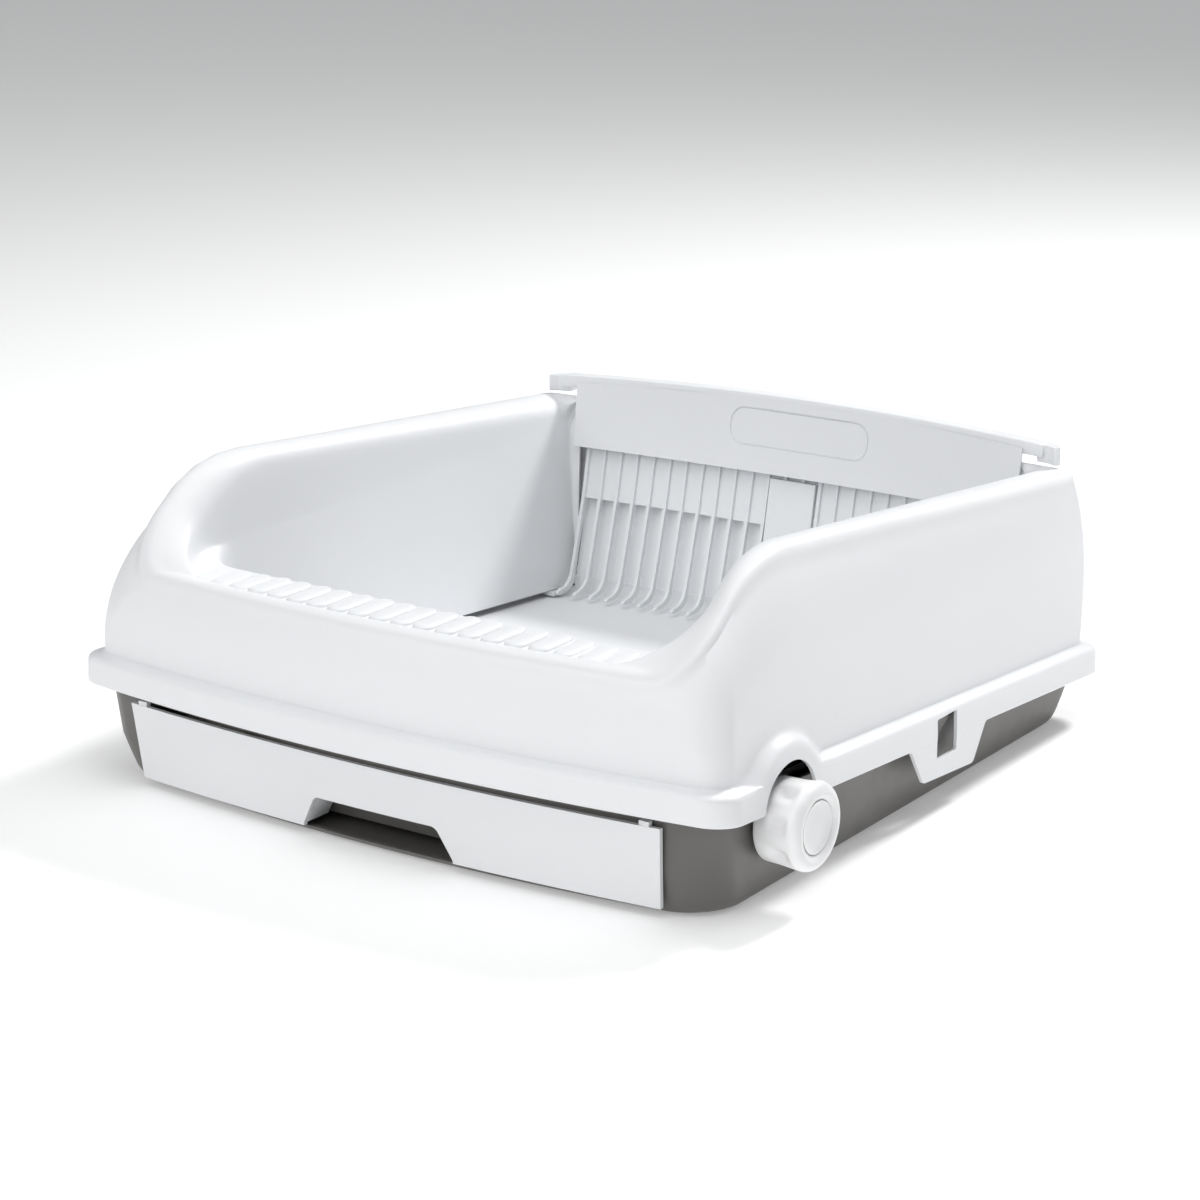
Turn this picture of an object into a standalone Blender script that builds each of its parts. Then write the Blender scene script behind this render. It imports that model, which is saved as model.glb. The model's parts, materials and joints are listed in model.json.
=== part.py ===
"""Cat litter box with a high open hood, a waste drawer and a knob-driven rake.

Metres, +Z up, front towards -Y, the knob on the +X side. The origin is on the floor, in the
middle of the flat underside of the base. The hood's rim, the pan's floor and the rake's track
all slope down towards the rear by the same small angle.
"""
import math

import bmesh
import bpy

# Driving dimensions
FLANGE_HALF_WIDTH = 0.250
FLANGE_HALF_DEPTH = 0.246
FLANGE_FRONT_BOW = 0.022
FLANGE_REAR_BOW = 0.014
FLANGE_MID_HEIGHT = 0.0495
FLANGE_BAND = 0.0185
SLOPE = 0.0659
TILT = math.atan(SLOPE)
GAP = 0.0003
SKIN = 0.003
HOOD_SKIN = 0.0024

TUB_HALF_WIDTH = 0.227
TUB_HALF_DEPTH = 0.2235
TUB_FRONT_BOW = 0.018
TUB_CORNER = 0.026
TUB_RIM_OVERLAP = 0.008

RIM_PEAK_Z = 0.204
RIM_PEAK_Y = -0.130
RIM_FALL = 0.083
SILL_Z = 0.146
SCOOP_DEPTH = 0.091
SCOOP_POWER = 2.45
LEDGE_Z = 0.1445
RIM_CENTRE_X = 0.2075
RIM_FRONT_Y = -0.221
REAR_RIM_RADIUS = 0.0036
RIM_REAR_Y = 0.2328
SKIN_TOP_X = 0.193
SKIN_TOP_Z = 0.163
SKIN_LEAN = 0.08
SKIN_FOOT_GAP = 0.0055

PAN_FLOOR_Z = 0.027
PAN_FLOOR_AT_Y = 0.186
PAN_HALF_WIDTH = 0.1995
PAN_REAR_Y = 0.2225
PAN_CREST_Y = -0.120
PAN_WALL = 0.0025
PAN_WALL_HEIGHT = 0.0135
PAN_BACK_TOP_Z = 0.0595

SHAFT_Y = -0.178
SHAFT_Z = 0.052
SHAFT_RADIUS = 0.004
PULLEY_RADIUS = 0.010
BELT_THICKNESS = 0.0012
BELT_X = 0.2075
BELT_WIDTH = 0.006
TRACK_LENGTH = 0.384

KNOB_BACK_X = 0.240
KNOB_LENGTH = 0.031
KNOB_BACK_RADIUS = 0.024
KNOB_FACE_RADIUS = 0.0268
KNOB_DISH_RADIUS = 0.020
KNOB_DISH_DEPTH = 0.0035

DRAWER_HALF_TOP = 0.204
DRAWER_HALF_BOTTOM = 0.201
DRAWER_BOTTOM_Z = 0.006
DRAWER_TOP_Z = 0.058
DRAWER_FRONT_Y = -0.2395
DRAWER_LEAN = 0.006
DRAWER_BOW = 0.011
DRAWER_PLATE = 0.003
NOTCH_HALF_TOP = 0.047
NOTCH_HALF_BOTTOM = 0.058
NOTCH_TOP_Z = 0.028

TINE_PITCH = 0.0141
TINE_WIDTH = 0.0026
TINES_A_SIDE = 12
COMB_HALF_WIDTH = 0.177
COMB_BOW = 0.0075
COMB_TOP_Z = 0.1353
WEB_BOTTOM_Z = 0.098

TAB_TOP_Y = (-0.031, 0.069)
TAB_BOTTOM_Y = (-0.014, 0.0525)
TAB_DROP = 0.026
WINDOW_Y = (0.003, 0.029)
WINDOW_Z = (0.037, 0.0635)

WHITE = (0.86, 0.87, 0.88)
BRIGHT_WHITE = (0.90, 0.90, 0.90)
GREY = (0.16, 0.155, 0.145)
BLACK = (0.03, 0.03, 0.03)
STEEL = (0.60, 0.60, 0.62)


def clear_scene():
    for obj in list(bpy.data.objects):
        bpy.data.objects.remove(obj, do_unlink=True)


def new_collection(name):
    collection = bpy.data.collections.new(name)
    bpy.context.scene.collection.children.link(collection)
    return collection


def make_material(name, colour, roughness=0.4, metallic=0.0):
    material = bpy.data.materials.new(name)
    material.use_nodes = True
    shader = material.node_tree.nodes["Principled BSDF"]
    shader.inputs["Base Color"].default_value = (*colour, 1.0)
    shader.inputs["Roughness"].default_value = roughness
    shader.inputs["Metallic"].default_value = metallic
    return material


clear_scene()
PARTS = new_collection("cat_litter_box_with_hood")
CUTTERS = new_collection("cutters")


# Building blocks

def add_object(name, bm, look=None, origin=(0.0, 0.0, 0.0), collection=PARTS):
    """Makes an object from bm, with its origin moved to a given point."""
    bmesh.ops.translate(bm, verts=bm.verts, vec=[-value for value in origin])
    mesh = bpy.data.meshes.new(name)
    bm.to_mesh(mesh)
    bm.free()
    obj = bpy.data.objects.new(name, mesh)
    obj.location = origin
    collection.objects.link(obj)
    if look:
        colour, roughness, metallic = look
        obj.data.materials.append(make_material(name, colour, roughness, metallic))
    if collection is CUTTERS:
        obj.hide_render = True
        obj.display_type = "WIRE"
    return obj


def faced_out(bm):
    """Turns a closed solid's faces outwards."""
    if bm.calc_volume(signed=True) < 0:
        bmesh.ops.reverse_faces(bm, faces=bm.faces)
    return bm


def box_mesh(low, high):
    bm = bmesh.new()
    bmesh.ops.create_cube(bm, size=1.0)
    size = [b - a for a, b in zip(low, high)]
    middle = [(a + b) / 2 for a, b in zip(low, high)]
    bmesh.ops.scale(bm, verts=bm.verts, vec=size)
    bmesh.ops.translate(bm, verts=bm.verts, vec=middle)
    return bm


def rod_mesh(radius, start_x, end_x, y, z, end_radius=None, segments=32):
    """A round bar or cone along X."""
    bm = bmesh.new()
    turn = bmesh.ops.create_cone(
        bm, cap_ends=True, segments=segments, radius1=radius,
        radius2=radius if end_radius is None else end_radius, depth=end_x - start_x)
    for vert in turn["verts"]:
        x, local_y, local_z = vert.co
        vert.co = (local_z + (start_x + end_x) / 2, y + local_y, z - x)
    return bm


def prism_mesh(outline, along):
    """Pushes a flat closed outline along a vector."""
    bm = bmesh.new()
    face = bm.faces.new([bm.verts.new(point) for point in outline])
    pushed = bmesh.ops.extrude_face_region(bm, geom=[face])["geom"]
    moved = [item for item in pushed if isinstance(item, bmesh.types.BMVert)]
    bmesh.ops.translate(bm, verts=moved, vec=along)
    bmesh.ops.recalc_face_normals(bm, faces=bm.faces)
    return faced_out(bm)


def loft_mesh(rings, capped=True):
    """Joins closed rings of equal length, one after another, into a skin."""
    bm = bmesh.new()
    loops = [[bm.verts.new(point) for point in ring] for ring in rings]
    count = len(loops[0])
    for lower, upper in zip(loops, loops[1:]):
        for i in range(count):
            j = (i + 1) % count
            bm.faces.new((lower[i], lower[j], upper[j], upper[i]))
    if capped:
        bm.faces.new(reversed(loops[0]))
        bm.faces.new(loops[-1])
        faced_out(bm)
    return bm


def add_boolean(obj, other, operation):
    modifier = obj.modifiers.new(operation.lower() + "_" + other.name, "BOOLEAN")
    modifier.operation = operation
    modifier.solver = "EXACT"
    modifier.object = other


def cut(obj, name, bm):
    add_boolean(obj, add_object(name, bm, collection=CUTTERS), "DIFFERENCE")


def join(obj, name, bm):
    add_boolean(obj, add_object(name, bm, collection=CUTTERS), "UNION")


def merge_meshes(meshes):
    """Puts several separate solids in one mesh, for one Boolean."""
    merged = bmesh.new()
    for bm in meshes:
        mesh = bpy.data.meshes.new("part_of_cutter")
        bm.to_mesh(mesh)
        bm.free()
        merged.from_mesh(mesh)
        bpy.data.meshes.remove(mesh)
    return merged


# Outlines

CORNER_STEPS = 6
SIDE_STEPS = 9


def smooth(value):
    value = min(1.0, max(0.0, value))
    return value * value * (3.0 - 2.0 * value)


def bow_at(x, half_width, bow):
    return bow * max(0.0, 1.0 - (x / half_width) ** 2)


def plan_outline(half_width, front, rear, corners, bows=(0.0, 0.0), bow_half_width=None):
    """A rounded rectangle seen from above, its front and rear edges bowed outwards.

    corners and bows are (front, rear), and the bows run out at bow_half_width. Returns (x, y, front share, rear share) for each
    station, anticlockwise from the front left corner, always with the same number of stations.
    """
    front_corner, rear_corner = corners
    bow_half_width = bow_half_width or half_width
    arcs = [(-1, front + front_corner, front_corner, math.pi),
            (1, front + front_corner, front_corner, 1.5 * math.pi),
            (1, rear - rear_corner, rear_corner, 0.0),
            (-1, rear - rear_corner, rear_corner, 0.5 * math.pi)]
    rounded = []
    for side, centre_y, radius, start in arcs:
        centre_x = side * (half_width - radius)
        for step in range(CORNER_STEPS + 1):
            angle = start + 0.5 * math.pi * step / CORNER_STEPS
            rounded.append((centre_x + radius * math.cos(angle), centre_y + radius * math.sin(angle)))
    stations = []
    for index, (x, y) in enumerate(rounded):
        next_x, next_y = rounded[(index + 1) % len(rounded)]
        steps = SIDE_STEPS if index % (CORNER_STEPS + 1) == CORNER_STEPS else 1
        for step in range(steps):
            share = step / steps
            stations.append((x + (next_x - x) * share, y + (next_y - y) * share))
    outline = []
    for x, y in stations:
        front_share = min(1.0, max(0.0, (front + front_corner - y) / front_corner))
        rear_share = min(1.0, max(0.0, (y - rear + rear_corner) / rear_corner))
        shift = rear_share * bow_at(x, bow_half_width, bows[1])
        shift -= front_share * bow_at(x, bow_half_width, bows[0])
        outline.append((x, y + shift, front_share, rear_share))
    return outline


def bowed_strip(half_width, end_y, thickness, bow, steps=18):
    """A strip seen from above, bowed towards the rear, its front edge first."""
    front = []
    for step in range(steps + 1):
        x = half_width * (2 * step / steps - 1)
        front.append((x, end_y + bow_at(x, half_width, bow)))
    return front + [(x, y + thickness) for x, y in reversed(front)]


def flange_z(y):
    return FLANGE_MID_HEIGHT - SLOPE * y


def pan_floor_z(y):
    return PAN_FLOOR_Z - SLOPE * (y - PAN_FLOOR_AT_Y)


def place_on_track(obj):
    """The track's own axes are X, then along the slope to the rear, then square to the slope."""
    obj.location = (0.0, SHAFT_Y, SHAFT_Z)
    obj.rotation_euler = (-TILT, 0.0, 0.0)
    return obj


# Base

def make_base_tub():
    """Outer walls up, over the rim and down the inside, closed by the bottom plate."""
    bottom_curve = [(0.0, -0.0040), (0.0015, -0.0012), (0.006, 0.0015), (0.030, 0.0065)]
    rim_spread = 0.0095
    rings = []

    def ring(spread, height):
        corner = TUB_CORNER + spread
        stations = plan_outline(
            TUB_HALF_WIDTH + spread, -TUB_HALF_DEPTH - spread, TUB_HALF_DEPTH + spread,
            (corner, corner), (TUB_FRONT_BOW, FLANGE_REAR_BOW))
        rings.append([(x, y, flange_z(y) + TUB_RIM_OVERLAP if height is None else height)
                      for x, y, _, _ in stations])

    for height, spread in bottom_curve:
        ring(spread, height)
    ring(rim_spread, None)
    ring(rim_spread - SKIN, None)
    for height, spread in reversed(bottom_curve[2:]):
        ring(spread - SKIN, height)
    ring(-0.006, SKIN)
    tub = add_object("base_tub", loft_mesh(rings), (GREY, 0.45, 0.0))

    opening = [(-0.2030, 0.0045), (0.2030, 0.0045), (0.2055, 0.0595), (-0.2055, 0.0595)]
    cut(tub, "drawer_opening", prism_mesh([(x, -0.29, z) for x, z in opening], (0, 0.10, 0)))
    cut(tub, "shaft_hole", rod_mesh(0.0055, 0.22, 0.26, SHAFT_Y, SHAFT_Z))
    wedge = [(0.2315, 0.040), (0.2455, 0.0585), (0.2455, 0.0610), (0.2315, 0.0610)]
    catches = [prism_mesh([(side * x, 0.007, z) for x, z in wedge], (0, 0.018, 0))
               for side in (-1, 1)]
    join(tub, "latch_catches", merge_meshes(catches))


def make_litter_pan():
    """The sloping tray that holds the litter, open at the front where waste drops off."""
    rings = []

    def ring(spread, lift, wall_share=0.0):
        stations = plan_outline(
            PAN_HALF_WIDTH + spread, -0.150, PAN_REAR_Y + spread, (0.012, 0.012), (0.0, COMB_BOW))
        points = []
        for x, y, _, _ in stations:
            points.append((x, y, pan_floor_z(y) + lift + wall_share * PAN_WALL_HEIGHT))
        rings.append(points)

    ring(-0.006, -PAN_WALL)
    ring(-0.002, -0.0005)
    ring(0.0, 0.003)
    ring(0.0, 0.0, 1.0)
    ring(-PAN_WALL, 0.0, 1.0)
    ring(-PAN_WALL, 0.005)
    ring(-0.004, 0.0015)
    ring(-0.008, 0.0)
    pan = add_object("litter_pan", loft_mesh(rings), (WHITE, 0.4, 0.0))
    cut(pan, "pan_front_cut", box_mesh((-0.25, -0.20, 0.0), (0.25, PAN_CREST_Y, 0.12)))
    back = bowed_strip(0.1775, PAN_REAR_Y - 0.0023, 0.0021, COMB_BOW)
    foot_z = pan_floor_z(PAN_REAR_Y) + 0.003
    join(pan, "pan_back", prism_mesh([(x, y, foot_z) for x, y in back], (0, 0, PAN_BACK_TOP_Z - foot_z)))


def make_pan_supports():
    for name, y in (("pan_support_front", -0.112), ("pan_support_rear", 0.150)):
        top = pan_floor_z(y + 0.006) - PAN_WALL - GAP
        bm = box_mesh((-0.150, y, SKIN + GAP), (0.150, y + 0.006, top))
        add_object(name, bm, (GREY, 0.5, 0.0))


# Hood

def rim_top_z(straight_y, y):
    """Height of the hood's top edge: a scoop at the front, then a long fall to the rear."""
    if straight_y < RIM_PEAK_Y:
        share = min(1.0, (RIM_PEAK_Y - straight_y) / SCOOP_DEPTH)
        return RIM_PEAK_Z - (RIM_PEAK_Z - SILL_Z) * share ** SCOOP_POWER
    return RIM_PEAK_Z - RIM_FALL * (y - RIM_PEAK_Y)


def blend(side, front, rear, station):
    """A value for the sides, turning to those for the front and the rear round the corners."""
    _, _, front_share, rear_share = station
    return side + (front - side) * smooth(front_share) + (rear - side) * smooth(rear_share)


def hood_rings():
    """Rings of the hood's skin: up from the flange, over the rim and down the inside."""
    outer_bows = (FLANGE_FRONT_BOW, FLANGE_REAR_BOW)
    inner_bows = (0.006, FLANGE_REAR_BOW)
    rim_corners = (0.040, 0.016)
    rim = plan_outline(
        RIM_CENTRE_X, RIM_FRONT_Y, RIM_REAR_Y, rim_corners, outer_bows, FLANGE_HALF_WIDTH)
    straight = plan_outline(RIM_CENTRE_X, RIM_FRONT_Y, RIM_REAR_Y, rim_corners)
    tops = [rim_top_z(plain[1], bent[1]) for plain, bent in zip(straight, rim)]
    rings = []

    def ring(side, front, rear, corners, height, bows=outer_bows):
        stations = plan_outline(side, front, rear, corners, bows, FLANGE_HALF_WIDTH)
        rings.append([(s[0], s[1], height(i, s)) for i, s in enumerate(stations)])

    flange_section = [(0.0, 0.0), (0.0004, 0.0145), (0.0016, 0.0174), (0.0040, FLANGE_BAND),
                      (0.0075, 0.0187), (0.0097, 0.0205)]
    for inset, lift in flange_section:
        ring(FLANGE_HALF_WIDTH - inset, inset - FLANGE_HALF_DEPTH, FLANGE_HALF_DEPTH - inset,
             (0.030 - inset / 2, 0.030 - inset / 2), lambda i, s, up=lift: flange_z(s[1]) + up)

    foot_lift = flange_section[-1][1]
    for share in (0.25, 0.5, 0.75, 1.0):
        lean = 0.45 * share + 0.55 * share ** 2

        def wall_z(i, s, share=share):
            shoulder = tops[i] - blend(0.011, 0.009, REAR_RIM_RADIUS, s)
            return flange_z(s[1]) + foot_lift + (shoulder - flange_z(s[1]) - foot_lift) * share
        ring(0.2403 - 0.0218 * lean, -0.2363 + 0.0063 * lean, 0.2363 + 0.0002 * lean,
             (0.025 + 0.015 * share, 0.025 - 0.007 * share), wall_z)

    for degrees in (30, 60, 90, 120, 150, 180):
        out = math.cos(math.radians(degrees))
        up = math.sin(math.radians(degrees))
        outside = degrees <= 90
        drops = (0.011, 0.009, REAR_RIM_RADIUS) if outside else (0.0125, 0.0015, REAR_RIM_RADIUS)

        def rim_z(i, s, up=up, drops=drops):
            return tops[i] - blend(*drops, s) * (1 - up)
        ring(RIM_CENTRE_X + (0.011 if outside else 0.0145) * out,
             RIM_FRONT_Y - (0.009 if outside else 0.006) * out, RIM_REAR_Y + REAR_RIM_RADIUS * out,
             rim_corners if outside else (0.038, 0.009), rim_z)

    def skin_x(z):
        return SKIN_TOP_X - SKIN_LEAN * (SKIN_TOP_Z - z)

    ledge_steps = [(0.1520, -0.2120, LEDGE_Z, 0.1650), (0.1460, -0.1930, LEDGE_Z, 0.1610),
                   (0.1400, -0.1890, 0.1415, 0.1580)]
    for side_z, front_y, front_z, rear_z in ledge_steps:
        ring(skin_x(side_z), front_y, RIM_REAR_Y - REAR_RIM_RADIUS, (0.036, 0.003),
             lambda i, s, z=(side_z, front_z, rear_z): blend(*z, s), inner_bows)

    for share, rear_z in ((0.5, 0.1560), (1.0, 0.1540)):
        def skin_z(i, s, share=share, rear_z=rear_z):
            shaft_cover = 0.0045 * smooth((-s[1] - 0.110) / 0.03)
            arm_room = 0.0100 * smooth((s[1] - 0.165) / 0.04)
            foot = pan_floor_z(s[1]) + SKIN_FOOT_GAP + shaft_cover + arm_room
            side_z = 0.1400 + (foot - 0.1400) * share
            return side_z + (rear_z - side_z) * smooth((s[3] - 0.15) / 0.5)
        foot_x = skin_x(0.140) + (skin_x(0.045) - skin_x(0.140)) * share
        ring(foot_x, -0.1885, RIM_REAR_Y - REAR_RIM_RADIUS, (0.034, 0.003), skin_z, inner_bows)
    return rings


def make_hood_shell():
    hood = add_object("hood_shell", loft_mesh(hood_rings(), capped=False), (WHITE, 0.35, 0.0))
    solidify = hood.modifiers.new("skin", "SOLIDIFY")
    solidify.thickness = HOOD_SKIN
    solidify.offset = -1.0
    solidify.use_even_offset = False

    tabs = []
    for side in (-1, 1):
        outline = [(TAB_TOP_Y[0], flange_z(TAB_TOP_Y[0]) + 0.004),
                   (TAB_BOTTOM_Y[0], TAB_DROP), (TAB_BOTTOM_Y[1], TAB_DROP - 0.005),
                   (TAB_TOP_Y[1], flange_z(TAB_TOP_Y[1]) + 0.004)]
        tabs.append(prism_mesh([(side * 0.2480, y, z) for y, z in outline], (side * 0.0015, 0, 0)))
    windows = [box_mesh((min(side * 0.243, side * 0.256), WINDOW_Y[0], WINDOW_Z[0]),
                        (max(side * 0.243, side * 0.256), WINDOW_Y[1], WINDOW_Z[1]))
               for side in (-1, 1)]
    arch_y, arch_z, arch_radius = -0.175, 0.0585, 0.029
    half_turn = [math.pi * step / 16 for step in range(17)]
    hole = [(0.225, arch_y + arch_radius * math.cos(turn), arch_z + arch_radius * math.sin(turn))
            for turn in half_turn]
    hole += [(0.225, arch_y - arch_radius, 0.03), (0.225, arch_y + arch_radius, 0.03)]
    cut(hood, "knob_arch", prism_mesh(hole, (0.035, 0, 0)))
    join(hood, "latch_tabs", merge_meshes(tabs))
    cut(hood, "latch_windows", merge_meshes(windows))
    band_start, band_radius = 0.2369, 0.0435
    band = [(band_start, arch_y + (arch_radius - 0.0010) * math.cos(turn),
             arch_z + (arch_radius - 0.0010) * math.sin(turn)) for turn in half_turn]
    band += [(band_start, arch_y + band_radius * math.cos(turn), arch_z + band_radius * math.sin(turn))
             for turn in reversed(half_turn)]
    join(hood, "arch_band", prism_mesh(band, (0.0125, 0, 0)))


def make_back_panel():
    """A leaning bowed leaf with a rolled top edge that wraps round the rear corners."""
    rings = []
    for half_width, end_y, z, arch in ((0.1858, 0.2285, 0.1375, 0.0), (0.1866, 0.2335, 0.1850, 0.0055)):
        strip = bowed_strip(half_width, end_y, 0.0020, COMB_BOW)
        rings.append([(x, y, z + bow_at(x, half_width, arch)) for x, y in strip])
    panel = add_object("back_panel", loft_mesh(rings), (WHITE, 0.35, 0.0))
    edge_rings = []
    for z, inset in ((0.1795, 0.0015), (0.1810, 0.0), (0.1865, 0.0), (0.1885, 0.0015), (0.1890, 0.003)):
        strip = bowed_strip(0.2020 - inset, 0.2337 + inset, 0.0135 - 2 * inset, COMB_BOW)
        edge_rings.append([(x, y, z + bow_at(x, 0.202, 0.0055)) for x, y in strip])
    join(panel, "panel_top_edge", loft_mesh(edge_rings))
    ears = []
    for side in (-1, 1):
        ear = [(0.196, 0.2375), (0.212, 0.2340), (0.2215, 0.2260), (0.2240, 0.2310), (0.2170, 0.2430),
               (0.2000, 0.2480), (0.196, 0.2482)]
        ears.append(prism_mesh([(side * x, y, 0.1797) for x, y in ear], (0, 0, 0.0075)))
    join(panel, "panel_ears", merge_meshes(ears))


# Rake, its belts and the knob

def fin_outline():
    """The side view of one tine: a leaning blade whose foot curves forward, as (y, z)."""
    front = [(0.2346, COMB_TOP_Z), (0.2266, WEB_BOTTOM_Z), (0.2113, 0.0450), (0.2085, 0.0385),
             (0.2035, 0.0345), (0.1935, 0.0322)]
    tip_and_back = [(0.1920, 0.0307), (0.1935, 0.0292), (0.2050, 0.0300), (0.2125, 0.0350),
                    (0.2153, 0.0450), (0.2306, WEB_BOTTOM_Z), (0.2386, COMB_TOP_Z)]
    return front + tip_and_back


def make_rake_comb():
    """A bowed web with a row of tines, a pad in the middle and a heel plate at each end."""
    top_shift = (0.2346 - 0.2266)
    rings = []
    for z, shift in ((WEB_BOTTOM_Z, 0.0), (COMB_TOP_Z - 0.0004, top_shift)):
        strip = bowed_strip(COMB_HALF_WIDTH, 0.2280 + shift, 0.0020, COMB_BOW)
        rings.append([(x, y, z) for x, y in strip])
    comb = add_object("rake_comb", loft_mesh(rings), (WHITE, 0.4, 0.0))
    fins = []
    for side in (-1, 1):
        for tine in range(TINES_A_SIDE):
            x = side * (COMB_HALF_WIDTH - TINE_PITCH * tine)
            bow = bow_at(x, COMB_HALF_WIDTH, COMB_BOW)
            outline = [(x - TINE_WIDTH / 2, y + bow, z) for y, z in fin_outline()]
            fins.append(prism_mesh(outline, (TINE_WIDTH, 0, 0)))
    for x in (-0.0074, 0.0074):
        outline = [(x - TINE_WIDTH / 2, y + COMB_BOW, z) for y, z in fin_outline()]
        fins.append(prism_mesh(outline, (TINE_WIDTH, 0, 0)))
    join(comb, "tines", merge_meshes(fins))
    heels = [box_mesh((side * COMB_HALF_WIDTH - 0.0017, 0.1955, 0.0308),
                      (side * COMB_HALF_WIDTH + 0.0017, 0.2060, 0.0335)) for side in (-1, 1)]
    join(comb, "heels", merge_meshes(heels))
    pad = [(-0.019, 0.2215 + COMB_BOW, 0.078), (0.019, 0.2215 + COMB_BOW, 0.078),
           (0.019, 0.2240 + COMB_BOW, 0.078), (-0.019, 0.2240 + COMB_BOW, 0.078)]
    join(comb, "rake_pad", prism_mesh(pad, (0, 0.0110, 0.0550)))


def make_rake_drive():
    for side, word in ((-1, "left"), (1, "right")):
        def across(low, high):
            """Mirrors a box given for the right-hand side."""
            xs = sorted((side * low[0], side * high[0]))
            return (xs[0], low[1], low[2]), (xs[1], high[1], high[2])

        arm = box_mesh(*across((0.1792, 0.370, 0.0005), (0.1950, 0.380, 0.0035)))
        arm = place_on_track(add_object("rake_arm_" + word, arm, (WHITE, 0.4, 0.0)))
        pieces = [box_mesh(*across((0.1920, 0.369, 0.0010), (0.1955, 0.381, 0.0175))),
                  box_mesh(*across((0.1925, 0.358, 0.0145), (0.2130, 0.3805, 0.0180)))]
        for index, bm in enumerate(pieces):
            name = "arm_piece_%s_%d" % (word, index)
            join(arm, name, bm)
            place_on_track(CUTTERS.objects[name])

        clamp = box_mesh(*across((0.2035, 0.358, 0.0065), (0.2130, 0.374, 0.0142)))
        clamp = place_on_track(add_object("belt_clamp_" + word, clamp, (GREY, 0.5, 0.0)))
        name = "clamp_slot_" + word
        cut(clamp, name, box_mesh(*across((0.2020, 0.350, 0.0099), (0.2109, 0.380, 0.0119))))
        place_on_track(CUTTERS.objects[name])

        belt = belt_mesh(PULLEY_RADIUS + GAP + BELT_THICKNESS, BELT_WIDTH, side)
        belt = place_on_track(add_object("drive_belt_" + word, belt, (BLACK, 0.7, 0.0)))
        name = "belt_inside_" + word
        cut(belt, name, belt_mesh(PULLEY_RADIUS + GAP, 2 * BELT_WIDTH, side))
        place_on_track(CUTTERS.objects[name])

        xs = sorted((side * 0.204, side * 0.211))
        pulley = add_object("drive_pulley_" + word, rod_mesh(
            PULLEY_RADIUS, *xs, SHAFT_Y, SHAFT_Z, segments=40), (GREY, 0.5, 0.0),
            origin=(side * BELT_X, SHAFT_Y, SHAFT_Z))
        cut(pulley, "pulley_bore_" + word, rod_mesh(
            SHAFT_RADIUS + GAP, xs[0] - 0.01, xs[1] + 0.01, SHAFT_Y, SHAFT_Z))

        idler_y = SHAFT_Y + TRACK_LENGTH * math.cos(TILT)
        idler_z = SHAFT_Z - TRACK_LENGTH * math.sin(TILT)
        idler = add_object("idler_" + word, rod_mesh(
            PULLEY_RADIUS, *xs, idler_y, idler_z, segments=40), (GREY, 0.5, 0.0),
            origin=(side * BELT_X, idler_y, idler_z))
        cut(idler, "idler_bore_" + word, rod_mesh(
            0.0033, xs[0] - 0.01, xs[1] + 0.01, idler_y, idler_z))
        pin_xs = sorted((side * 0.2032, side * 0.2265))
        add_object("idler_axle_" + word, rod_mesh(0.003, *pin_xs, idler_y, idler_z), (STEEL, 0.3, 1.0))

        bush_xs = sorted((side * 0.2220, side * 0.2315))
        bush = add_object("shaft_bush_" + word, rod_mesh(
            0.008, *bush_xs, SHAFT_Y, SHAFT_Z), (GREY, 0.5, 0.0))
        cut(bush, "bush_bore_" + word, rod_mesh(
            SHAFT_RADIUS + GAP, bush_xs[0] - 0.01, bush_xs[1] + 0.01, SHAFT_Y, SHAFT_Z))


def belt_mesh(radius, width, side):
    """A solid with round ends over both pulleys, in the track's own axes."""
    outline = []
    for start, centre in ((0.5 * math.pi, 0.0), (1.5 * math.pi, TRACK_LENGTH)):
        for step in range(13):
            turn = start + math.pi * step / 12
            outline.append((centre + radius * math.cos(turn), radius * math.sin(turn)))
    low_x = side * BELT_X - width / 2
    return prism_mesh([(low_x, along, up) for along, up in outline], (width, 0, 0))


def make_knob():
    shaft_origin = (0.0, SHAFT_Y, SHAFT_Z)
    add_object("drive_shaft", rod_mesh(SHAFT_RADIUS, -0.2310, 0.2620, SHAFT_Y, SHAFT_Z),
               (STEEL, 0.3, 1.0), origin=shaft_origin)
    front_x = KNOB_BACK_X + KNOB_LENGTH
    knob = add_object("knob", rod_mesh(
        KNOB_BACK_RADIUS, KNOB_BACK_X, front_x, SHAFT_Y, SHAFT_Z, KNOB_FACE_RADIUS, segments=60),
        (BRIGHT_WHITE, 0.35, 0.0), origin=(KNOB_BACK_X, SHAFT_Y, SHAFT_Z))
    bevel = knob.modifiers.new("soft_edges", "BEVEL")
    bevel.width = 0.003
    bevel.segments = 3
    bevel.angle_limit = math.radians(40)
    cut(knob, "knob_bore", rod_mesh(
        SHAFT_RADIUS + GAP, KNOB_BACK_X - 0.01, 0.2635, SHAFT_Y, SHAFT_Z))
    cut(knob, "knob_dish", rod_mesh(
        KNOB_DISH_RADIUS, front_x - KNOB_DISH_DEPTH, front_x + 0.01, SHAFT_Y, SHAFT_Z, segments=60))
    add_object("knob_cap", rod_mesh(
        KNOB_DISH_RADIUS - GAP, front_x - KNOB_DISH_DEPTH + GAP, front_x - 0.001, SHAFT_Y, SHAFT_Z,
        segments=60), (BRIGHT_WHITE, 0.35, 0.0), origin=(front_x, SHAFT_Y, SHAFT_Z))


# Waste drawer

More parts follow.
